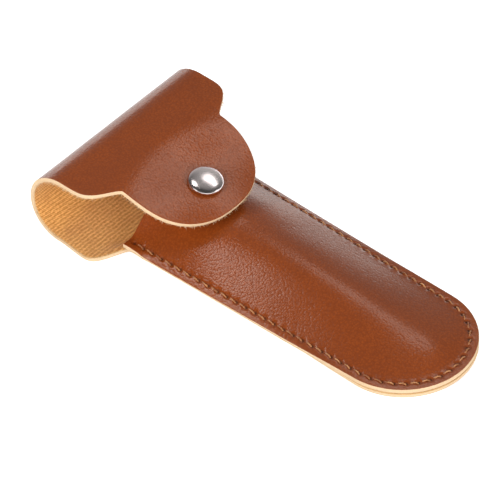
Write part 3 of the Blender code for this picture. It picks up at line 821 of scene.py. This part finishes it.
def eyelet(material):
    """Flanged tube set from inside the pocket, up into the stud."""
    arch = STUD_BASE_RADIUS ** 2 * (crest_height(SNAP_X) - RIM_THICKNESS) / (MOUTH_WIDTH / 2 - RIM) ** 2
    flange_top = H_FRONT_INNER - arch - SNAP_GAP
    barrel_top = H_STUD_TOP - METAL - SNAP_GAP
    inner = EYELET_RADIUS - METAL
    profile = [
        (inner, flange_top - METAL), (STUD_BASE_RADIUS, flange_top - METAL),
        (STUD_BASE_RADIUS, flange_top), (EYELET_RADIUS, flange_top), (EYELET_RADIUS, barrel_top),
        (inner, barrel_top),
    ]
    return lathe("eyelet", profile, material, POST_ROUND, closed=True)


def cut_bore(obj):
    """Cut the hole of the post and the eyelet through a piece of leather."""
    radius = POST_RADIUS + BORE_CLEARANCE
    low = H_FRONT_INNER - BORE_PAST
    section = [(0.0, LEATHER), (radius, LEATHER), (radius, low), (0.0, low)]
    tool = lathe("bore_tool", section, obj.data.materials[CUT])
    bore = obj.modifiers.new("bore", "BOOLEAN")
    bore.operation = "DIFFERENCE"
    bore.object = tool
    graph = bpy.context.evaluated_depsgraph_get()
    cut = bpy.data.meshes.new_from_object(obj.evaluated_get(graph))
    obj.modifiers.clear()
    obj.data = cut
    bpy.data.objects.remove(tool)


# Materials. Colours are linear, and a span is the range of a pattern's values over which it sets in.

GRAIN_BASE = (0.26, 0.0535, 0.0082)
GRAIN_DARK = (0.161, 0.03, 0.005)
GRAIN_PALE = (0.33, 0.085, 0.02)
GRAIN_TINT = (1.0, 0.91, 0.83, 1.0)
GRAIN_ROUGHNESS = (0.185, 0.225)
EDGE_PALENESS = 0.25
PEBBLE = 0.8 * MM
PEBBLE_HEIGHT = 0.05 * MM
WARP = 0.14 * MM
WARP_LENGTH = 0.9 * MM
MOTTLE = 13 * MM
PORE = 0.3 * MM
PORE_HEIGHT = 0.2
PORE_ROUGHNESS = 0.06
# Painted shade of the stitch holes, which the mesh only dents, and a rougher finish there
HOLE_SHADE = (0.05, 0.014, 0.005)
HOLE_ROUGHNESS = 0.6

# Inner side, whose pattern is in millimetres along the leather
FLESH_DARK = (0.43, 0.175, 0.035)
FLESH_PALE = (0.8, 0.43, 0.135)
FLESH_PATCH = (0.42, 0.17, 0.045)
FRAYED = (0.66, 0.5, 0.3)
RIB_PITCH = 1.5
LOOP_PITCH = 0.8
RIB_WANDER = 4.0
WANDER_LENGTH = 4.0
NAP = 0.9
PATCH = 5.0
NAP_HEIGHT = 0.22 * MM

# Cut edges; each turns golden from a share of its depth down
CREAM_DARK = (0.61, 0.43, 0.26)
CREAM_PALE = (0.71, 0.53, 0.34)
EDGE_GOLD = (0.52, 0.31, 0.13)
GOLD_FROM = 0.95
BACK_GOLD_FROM = 0.8
GOLD_RUN = 0.3
EDGE_FIBRE = 0.35 * MM
EDGE_DRIFT = 4 * MM
EDGE_FIBRE_HEIGHT = 0.12 * MM

# Thread and metal
NEEDLE_TONES = ((0.22, 0.06, 0.017), (0.58, 0.28, 0.115))
BOBBIN_TONES = ((0.24, 0.075, 0.02), (0.6, 0.32, 0.13))
THREAD_DRIFT = 2.2 * MM
STRAND = 0.16 * MM
STRAND_HEIGHT = 0.05 * MM
NICKEL_TONES = ((0.84, 0.76, 0.755), (0.79, 0.715, 0.71))
NICKEL_ROUGHNESS = (0.22, 0.25)
STEEL_TONES = ((0.55, 0.55, 0.57), (0.42, 0.42, 0.44))
STEEL_ROUGHNESS = (0.18, 0.3)
CLOUD = 2.5 * MM
HAIRLINE = 0.9 * MM
HAIRLINE_STRETCH = (1.0, 9.0, 4.0)
HAIRLINE_HEIGHT = 0.001 * MM


class Nodes:
    """A tree of shader nodes, with short ways to add and join them."""

    def __init__(self, tree):
        self.tree = tree

    def add(self, kind, sockets, **settings):
        node = self.tree.nodes.new("ShaderNode" + kind)
        for name, value in settings.items():
            setattr(node, name, value)
        for name, value in sockets.items():
            self.feed(node.inputs[name], value)
        return node

    def feed(self, socket, value):
        if isinstance(value, bpy.types.NodeSocket):
            self.tree.links.new(value, socket)
        else:
            socket.default_value = value

    def noise(self, place, size, detail=2.0, roughness=0.5):
        sockets = {"Vector": place, "Scale": 1 / size, "Detail": detail, "Roughness": roughness}
        return self.add("TexNoise", sockets).outputs["Fac"]

    def vector(self, operation, a, b):
        return self.add("VectorMath", {0: a, 1: b}, operation=operation).outputs

    def math(self, operation, a, b=0.0):
        return self.add("Math", {0: a, 1: b}, operation=operation).outputs[0]

    def times(self, a, b):
        return self.math("MULTIPLY", a, b)

    def plus(self, a, b, share):
        """One value plus a share of another."""
        return self.math("ADD", a, self.times(b, share))

    def ramp(self, value, span, levels=(0.0, 1.0)):
        """Ease a value from one level to another over a span."""
        sockets = {"Value": value}
        sockets.update(zip(("From Min", "From Max", "To Min", "To Max"), span + levels))
        return self.add("MapRange", sockets, interpolation_type="SMOOTHSTEP").outputs["Result"]

    def blend(self, share, a, b):
        a, b = [(*colour, 1.0) if isinstance(colour, tuple) else colour for colour in (a, b)]
        return self.add("Mix", {0: share, 6: a, 7: b}, data_type="RGBA").outputs[2]


class Paint(Nodes):
    """A Principled material."""

    def __init__(self, name, roughness=0.5, metallic=0.0):
        self.material = bpy.data.materials.new(name)
        self.material.use_nodes = True
        super().__init__(self.material.node_tree)
        self.shader = self.tree.nodes["Principled BSDF"]
        self.set(Roughness=roughness, Metallic=metallic)

    def place(self):
        return self.add("TexCoord", {}).outputs["Object"]

    def lay(self):
        return self.add("UVMap", {}, uv_map="lay").outputs["UV"]

    def share(self, label):
        return self.add("Attribute", {}, attribute_name=label).outputs["Fac"]

    def bump(self, height, distance, strength=1.0):
        bump = self.add("Bump", {"Height": height, "Distance": distance, "Strength": strength})
        self.set(Normal=bump.outputs["Normal"])

    def set(self, **sockets):
        for name, value in sockets.items():
            self.feed(self.shader.inputs[name.replace("_", " ")], value)
        return self.material


def grain_leather():
    """Coated grain side: domed pebbles with fine pores, mottled colour, paler along its edges."""
    paint = Paint("grain_leather")
    place = paint.place()
    waver = {"Vector": place, "Scale": 1 / WARP_LENGTH, "Detail": 1.0}
    warp = paint.add("TexNoise", waver).outputs["Color"]
    shift = paint.add("VectorMath", {0: warp, "Scale": WARP}, operation="SCALE").outputs[0]
    warped = paint.vector("ADD", place, shift)[0]
    away = paint.add("TexVoronoi", {"Vector": warped, "Scale": 1 / PEBBLE}).outputs["Distance"]
    dome = paint.math("SUBTRACT", 1.0, paint.times(away, away))
    pores = paint.noise(place, PORE, 3.0, 0.6)
    mottle = paint.noise(place, MOTTLE, 4.0, 0.6)
    colour = GRAIN_BASE
    # Colour darkens from each pebble's middle to the valleys round it: partly the grain's own tone, partly
    # painted shade in the valleys, which leaves a painted glint on each pebble top
    darker = ((mottle, (0.35, 0.7), 0.3), (away, (0.2, 0.7), 0.6), (pores, (0.35, 0.65), 0.4))
    for pattern, span, most in darker:
        colour = paint.blend(paint.ramp(pattern, span, (0.0, most)), colour, GRAIN_DARK)
    colour = paint.blend(paint.times(paint.share("edge"), EDGE_PALENESS), colour, GRAIN_PALE)
    # Painted shade: the stitch holes are only dents in the mesh, so their shade is painted into the colour
    colour = paint.blend(paint.share("hole"), colour, HOLE_SHADE)
    rough = paint.plus(paint.ramp(mottle, (0.3, 0.7), GRAIN_ROUGHNESS), pores, PORE_ROUGHNESS)
    rough = paint.plus(rough, paint.share("hole"), HOLE_ROUGHNESS)
    paint.bump(paint.plus(dome, pores, PORE_HEIGHT), PEBBLE_HEIGHT)
    return paint.set(Base_Color=colour, Roughness=rough, Specular_Tint=GRAIN_TINT)


def flesh_side():
    """Napped inner side: ribs across the sheath with a knitted look, and pale frayed edges."""
    paint = Paint("flesh_side", roughness=0.95)
    lay = paint.lay()
    parts = paint.add("SeparateXYZ", {0: lay}).outputs
    wander = paint.times(paint.noise(lay, WANDER_LENGTH), RIB_WANDER)
    turn = paint.plus(wander, parts["X"], 2 * pi / RIB_PITCH)
    rib = paint.ramp(paint.math("SINE", turn), (-0.6, 1.0))
    loop_turn = paint.plus(turn, parts["Y"], 2 * pi / LOOP_PITCH)
    loop = paint.ramp(paint.math("SINE", loop_turn), (-1.0, 1.0))
    nap = paint.noise(lay, NAP, 3.0, 0.65)
    patch = paint.noise(lay, PATCH, 3.0)
    knit = paint.plus(paint.times(rib, 0.2), loop, 0.22)
    tone = paint.plus(knit, nap, 0.9)
    colour = paint.blend(paint.ramp(tone, (0.45, 0.85)), FLESH_DARK, FLESH_PALE)
    colour = paint.blend(paint.ramp(patch, (0.45, 0.75), (0.0, 0.3)), colour, FLESH_PATCH)
    fray = paint.plus(paint.share("edge"), nap, 0.5)
    colour = paint.blend(paint.ramp(fray, (0.75, 0.95)), colour, FRAYED)
    paint.bump(tone, NAP_HEIGHT, 0.8)
    return paint.set(Base_Color=colour, Sheen_Weight=0.25, Sheen_Roughness=0.5)


def cut_edge(name, gold_from):
    """Raw cut edge: cream fibres with darker flecks, golden from a share of its depth down."""
    paint = Paint(name, roughness=0.9)
    place = paint.place()
    fibre = paint.noise(place, EDGE_FIBRE, 4.0, 0.7)
    drift = paint.noise(place, EDGE_DRIFT)
    cream = paint.blend(paint.ramp(fibre, (0.25, 0.6)), CREAM_DARK, CREAM_PALE)
    cream = paint.blend(paint.ramp(drift, (0.5, 0.8), (0.0, 0.3)), cream, CREAM_DARK)
    ragged = paint.plus(paint.share("depth"), paint.ramp(fibre, (0.3, 0.7)), 0.25)
    colour = paint.blend(paint.ramp(ragged, (gold_from, gold_from + GOLD_RUN)), cream, EDGE_GOLD)
    paint.bump(fibre, EDGE_FIBRE_HEIGHT, 0.7)
    return paint.set(Base_Color=colour)


def waxed_thread(name, dark, pale):
    """Waxed thread: tone drifting along it, with fine strands."""
    paint = Paint(name, roughness=0.5)
    place = paint.place()
    drift = paint.noise(place, THREAD_DRIFT)
    strand = paint.noise(place, STRAND, 3.0, 0.7)
    tone = paint.plus(paint.times(drift, 0.7), strand, 0.4)
    paint.bump(strand, STRAND_HEIGHT, 0.8)
    return paint.set(Base_Color=paint.blend(paint.ramp(tone, (0.35, 0.75)), dark, pale), Sheen_Weight=0.2)


def plated_metal(name, bright, worn, roughness):
    """Plated metal: slight cloudiness in its polish, and hairline marks."""
    paint = Paint(name, metallic=1.0)
    place = paint.place()
    cloud = paint.noise(place, CLOUD, 3.0)
    mark = paint.noise(paint.vector("MULTIPLY", place, HAIRLINE_STRETCH)[0], HAIRLINE)
    tone = paint.blend(paint.ramp(cloud, (0.4, 0.75), (0.0, 0.5)), bright, worn)
    paint.bump(mark, HAIRLINE_HEIGHT, 0.5)
    return paint.set(Base_Color=tone, Roughness=paint.ramp(cloud, (0.3, 0.75), roughness))


# Stage, light and camera

VIEW_AZIMUTH = radians(41.289)
VIEW_ELEVATION = radians(44.041)
VIEW_ROLL = radians(-0.628)
VIEW_DISTANCE = 2.0
IMAGE_PIXELS = 500
PIXELS_PER_METRE = 2920.0
AIM = Vector((0.0, 0.0, 8.0 * MM))
AIM_PIXEL = (279.0, 254.5)
SENSOR_MM = 36.0

# World: even light, and for mirror rays a level by height and lit places: direction, span, levels
EVEN_LIGHT = 0.24
SKY_TINT = (1.0, 0.99, 0.97, 1.0)
SKY_LEVELS = ((0.0, 3.7), (0.08, 3.0), (0.17, 0.55), (0.33, 0.45), (0.5, 0.4), (0.75, 0.3), (1.0, 0.2))
BACKDROP = ((-0.62, 0.7, -0.2), (0.35, 0.85), (0.18, 1.0))
OVERHEAD = ((0.0, 0.47, 0.88), (0.62, 1.0), (0.0, 0.22))
LEFT_CARD = ((-0.23, -0.96, 0.18), (0.955, 0.99), (0.0, 1.5))
RIGHT_CARD = ((0.94, 0.3, 0.14), (0.955, 0.99), (0.0, 1.5))

# Lamps: name, place, size, watts, and whether the gloss shows them
LAMP_AIM = Vector((-0.03, 0.0, 0.02))
LAMP_TINT = (1.0, 0.985, 0.965)
KEY_SIZE = (0.55, 0.55)
LAMPS = (
    ("left_softbox", (-0.075, -0.863, 0.5), KEY_SIZE, 8.9, False),
    ("right_softbox", (0.94, -0.082, 0.329), KEY_SIZE, 8.5, False),
    ("sheen_back", (-0.025, 0.115, 0.2), (0.14, 0.045), 0.056, True),
    ("sheen_front", (-0.1, -0.034, 0.16), (0.052, 0.052), 0.054, True),
)

FLOOR_HALF = 3.0
FLOOR_DROP = 0.05 * MM
FLOOR_COLOUR = (0.8, 0.8, 0.8, 1.0)
FLOOR_GLOW = 0.7


def set_camera():
    """Camera at the photograph's angle, moved sideways so that the aim point falls on its pixel."""
    data = bpy.data.cameras.new("camera")
    data.sensor_width = SENSOR_MM
    data.lens = PIXELS_PER_METRE * VIEW_DISTANCE * SENSOR_MM / IMAGE_PIXELS
    camera = add_object("camera", data)
    tilt = pi / 2 - VIEW_ELEVATION
    turn = Matrix.Rotation(VIEW_AZIMUTH, 4, "Z") @ Matrix.Rotation(tilt, 4, "X")
    turn = turn @ Matrix.Rotation(VIEW_ROLL, 4, "Z")
    right, down = [(pixel - IMAGE_PIXELS / 2) / PIXELS_PER_METRE for pixel in AIM_PIXEL]
    offset = Matrix.Translation((-right, down, VIEW_DISTANCE))
    camera.matrix_world = Matrix.Translation(AIM) @ turn @ offset
    scene.camera = camera


def add_softbox(name, place, size, watts, mirrored):
    """Soft lamp that looks at the sheath, and may show in its gloss."""
    data = bpy.data.lights.new(name, "AREA")
    data.shape = "RECTANGLE"
    data.size, data.size_y = size
    data.energy = watts
    data.color = LAMP_TINT
    lamp = add_object(name, data)
    lamp.location = place
    lamp.visible_glossy = mirrored
    lamp.rotation_mode = "QUATERNION"
    lamp.rotation_quaternion = (Vector(place) - LAMP_AIM).to_track_quat("Z", "Y")


def toward(nodes, place, direction, span, levels):
    """Level that rises as a ray turns toward a direction."""
    facing = nodes.vector("DOT_PRODUCT", place, Vector(direction).normalized())
    return nodes.ramp(facing["Value"], span, levels)


def set_world():
    """Even light from all round; mirror rays see a studio.

    The studio is a sky that is bright at the horizon, a white backdrop, a glow overhead and two cards.
    """
    world = bpy.data.worlds.new("studio")
    scene.world = world
    world.use_nodes = True
    nodes = Nodes(world.node_tree)
    place = nodes.add("TexCoord", {}).outputs["Generated"]
    parts = nodes.add("SeparateXYZ", {0: place}).outputs
    height = nodes.add("FloatCurve", {"Value": parts["Z"]})
    curve = height.mapping.curves[0]
    for end, spot in zip(curve.points, (SKY_LEVELS[0], SKY_LEVELS[-1])):
        end.location = spot
    for spot in SKY_LEVELS[1:-1]:
        curve.points.new(*spot)
    height.mapping.clip_max_y = SKY_LEVELS[0][1]
    height.mapping.update()
    studio = nodes.times(height.outputs[0], toward(nodes, place, *BACKDROP))
    for lit in (OVERHEAD, LEFT_CARD, RIGHT_CARD):
        studio = nodes.math("ADD", studio, toward(nodes, place, *lit))
    rays = nodes.add("LightPath", {}).outputs
    choice = nodes.add("Mix", {0: rays["Is Glossy Ray"], 2: EVEN_LIGHT, 3: studio})
    sky = nodes.tree.nodes["Background"]
    nodes.feed(sky.inputs["Strength"], choice.outputs[0])
    nodes.feed(sky.inputs["Color"], SKY_TINT)


def add_floor():
    """Plain pale floor that keeps the shadow; eye and mirror rays see it as a white sweep."""
    signs = ((-1, -1), (1, -1), (1, 1), (-1, 1))
    corners = [(x * FLOOR_HALF, y * FLOOR_HALF, 0.0) for x, y in signs]
    mesh = new_mesh("floor", corners, [(0, 1, 2, 3)])
    paint = Paint("floor", roughness=0.9)
    paint.set(Base_Color=FLOOR_COLOUR, Specular_IOR_Level=0.0)
    rays = paint.add("LightPath", {}).outputs
    seen = paint.math("MAXIMUM", rays["Is Camera Ray"], rays["Is Glossy Ray"])
    seen = paint.math("MAXIMUM", seen, rays["Is Transmission Ray"])
    paint.set(Emission_Strength=paint.times(seen, FLOOR_GLOW))
    floor = place_mesh("floor", mesh, [paint.material])
    floor.location.z = -FLOOR_DROP


# Pieces. Rows and stations are where the meshes of the leather have their points.

RIM_ROWS = [(EDGE_ROUND, 0.0)] + [(d, 0.0) for d in spread(0.6 * MM, RIM, 9)]
FRONT_ROWS = RIM_ROWS + [(RIM, share) for share in spread(0.0, 1.0, 26)[1:]]
BACK_ROWS = RIM_ROWS + [(RIM + RIM_RAMP * share, 0.0) for share in (0.15, 0.3, 0.5, 0.7, 0.85, 1.0)]
BACK_ROWS += [(RIM + RIM_RAMP, share) for share in spread(0.0, 1.0, 4)[1:]]
STRAP_RIM = 5.0 * MM
STRAP_ROWS = [(EDGE_ROUND, 0.0)] + [(d * MM, 0.0) for d in (0.5, 0.9, 1.5, 2.4, 3.6)]
STRAP_ROWS += [(STRAP_RIM, share) for share in spread(0.0, 1.0, 10)]
SEWN_STATIONS = places_between(X_MOUTH, X_ARC, SEWN_PITCH)[:-1]


def front_leather(hides, holes):
    """Moulded front of the pocket."""
    leather = Leather()
    columns = outline(SEWN_STATIONS, body_half_width, tip_arc(lambda x: 0.0))
    top_holes = [place for place, normal, across in holes]
    leather.add_run(columns, FRONT_ROWS, front_surface, (0, 0, 1), top_holes)
    piece = leather.finish("front_leather", hides)
    cut_bore(piece)
    return piece


def back_leather(hides, holes):
    """Back of the pocket, with its ears and the first third of the curl."""
    leather = Leather()
    curl = [X_CURL - s for s in places_between(S_CUTS[0], 0.0, STRAP_PITCH)][:-1]
    ears = places_between(X_CURL, X_MOUTH, STRAP_PITCH)[:-1]
    columns = outline(curl + ears + SEWN_STATIONS, back_half_width, tip_arc(back_inset))
    low_holes = [place - normal * RIM_THICKNESS for place, normal, across in holes]
    edge = leather.add_run(columns, BACK_ROWS, back_surface, (-1, 0, -1), low_holes)
    ear_end = len(curl) + len(ears) + steps_for(EAR_STEP_PAST_MOUTH, SEWN_PITCH)
    leather.add_fibres(*edge, 0, ear_end)
    leather.add_fibres(*edge, len(columns) - ear_end, len(columns))
    piece = leather.finish("back_leather", hides)
    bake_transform(piece)
    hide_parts("back_panel")


def fold_leather(hides):
    """Middle third of the curl, in two halves."""
    leather = Leather()
    near = near_columns(places_between(S_CUTS[0], S_CUTS[1], STRAP_PITCH), flap_half_width)
    for side in (near, far_columns(near)):
        edge = leather.add_run(side, STRAP_ROWS, strap_surface, (-1, 0, 0))
        leather.add_fibres(*edge, 0, len(side))
    piece = leather.finish("fold_leather", hides)
    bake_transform(piece)
    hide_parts("fold_strip_lower", "fold_strip_upper")


def flap_leather(hides):
    """Last third of the curl, and the flap with its tongue."""
    leather = Leather()
    stations = places_between(S_CUTS[1], S_TONGUE, STRAP_PITCH)[:-1]
    columns = outline(stations, flap_half_width, tongue_arc())
    edge = leather.add_run(columns, STRAP_ROWS, strap_surface, (-1, 0, 1))
    leather.add_fibres(*edge, 0, len(columns))
    piece = leather.finish("flap_leather", hides)
    cut_bore(piece)
    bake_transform(piece)
    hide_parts("flap")


def build():
    """Make all the pieces, in an order that the random draws of fibres and threads rely on."""
    brown = grain_leather()
    flesh = flesh_side()
    hides = [brown, cut_edge("cut_edge", GOLD_FROM), flesh]
    back_hides = [brown, cut_edge("back_cut_edge", BACK_GOLD_FROM), flesh]
    needle = waxed_thread("needle_thread", *NEEDLE_TONES)
    bobbin = waxed_thread("bobbin_thread", *BOBBIN_TONES)
    nickel = plated_metal("nickel", *NICKEL_TONES, NICKEL_ROUGHNESS)
    steel = plated_metal("spring_steel", *STEEL_TONES, STEEL_ROUGHNESS)

    holes = seam_points()
    front = front_leather(hides, holes)
    back_leather(back_hides, holes)
    fold_leather(hides)
    flap_leather(hides)
    pieces = (
        (front, "case", "front_panel", "moulded_leather"),
        (thread("needle_stitches", holes, 1, needle), "case", "needle_thread", "needle_thread"),
        (thread("bobbin_stitches", holes, -1, bobbin), "case", "bobbin_thread", "bobbin_thread"),
        (cap_shell(nickel), "flap", "snap_cap", "nickel"),
        (cap_post(nickel), "flap", "snap_cap_post", "nickel"),
        (socket_ring(nickel), "flap", "snap_socket", "nickel"),
        (spring_ring(steel), "flap", "socket_spring", "spring_steel"),
        (stud(nickel), "case", "snap_stud", "nickel"),
        (eyelet(nickel), "case", "stud_eyelet", "nickel"),
    )
    for piece, body, node, slot in pieces:
        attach(piece, body)
        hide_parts(node)


build()
add_floor()
set_camera()
set_world()
for lamp in LAMPS:
    add_softbox(*lamp)
scene.view_settings.view_transform = "Standard"
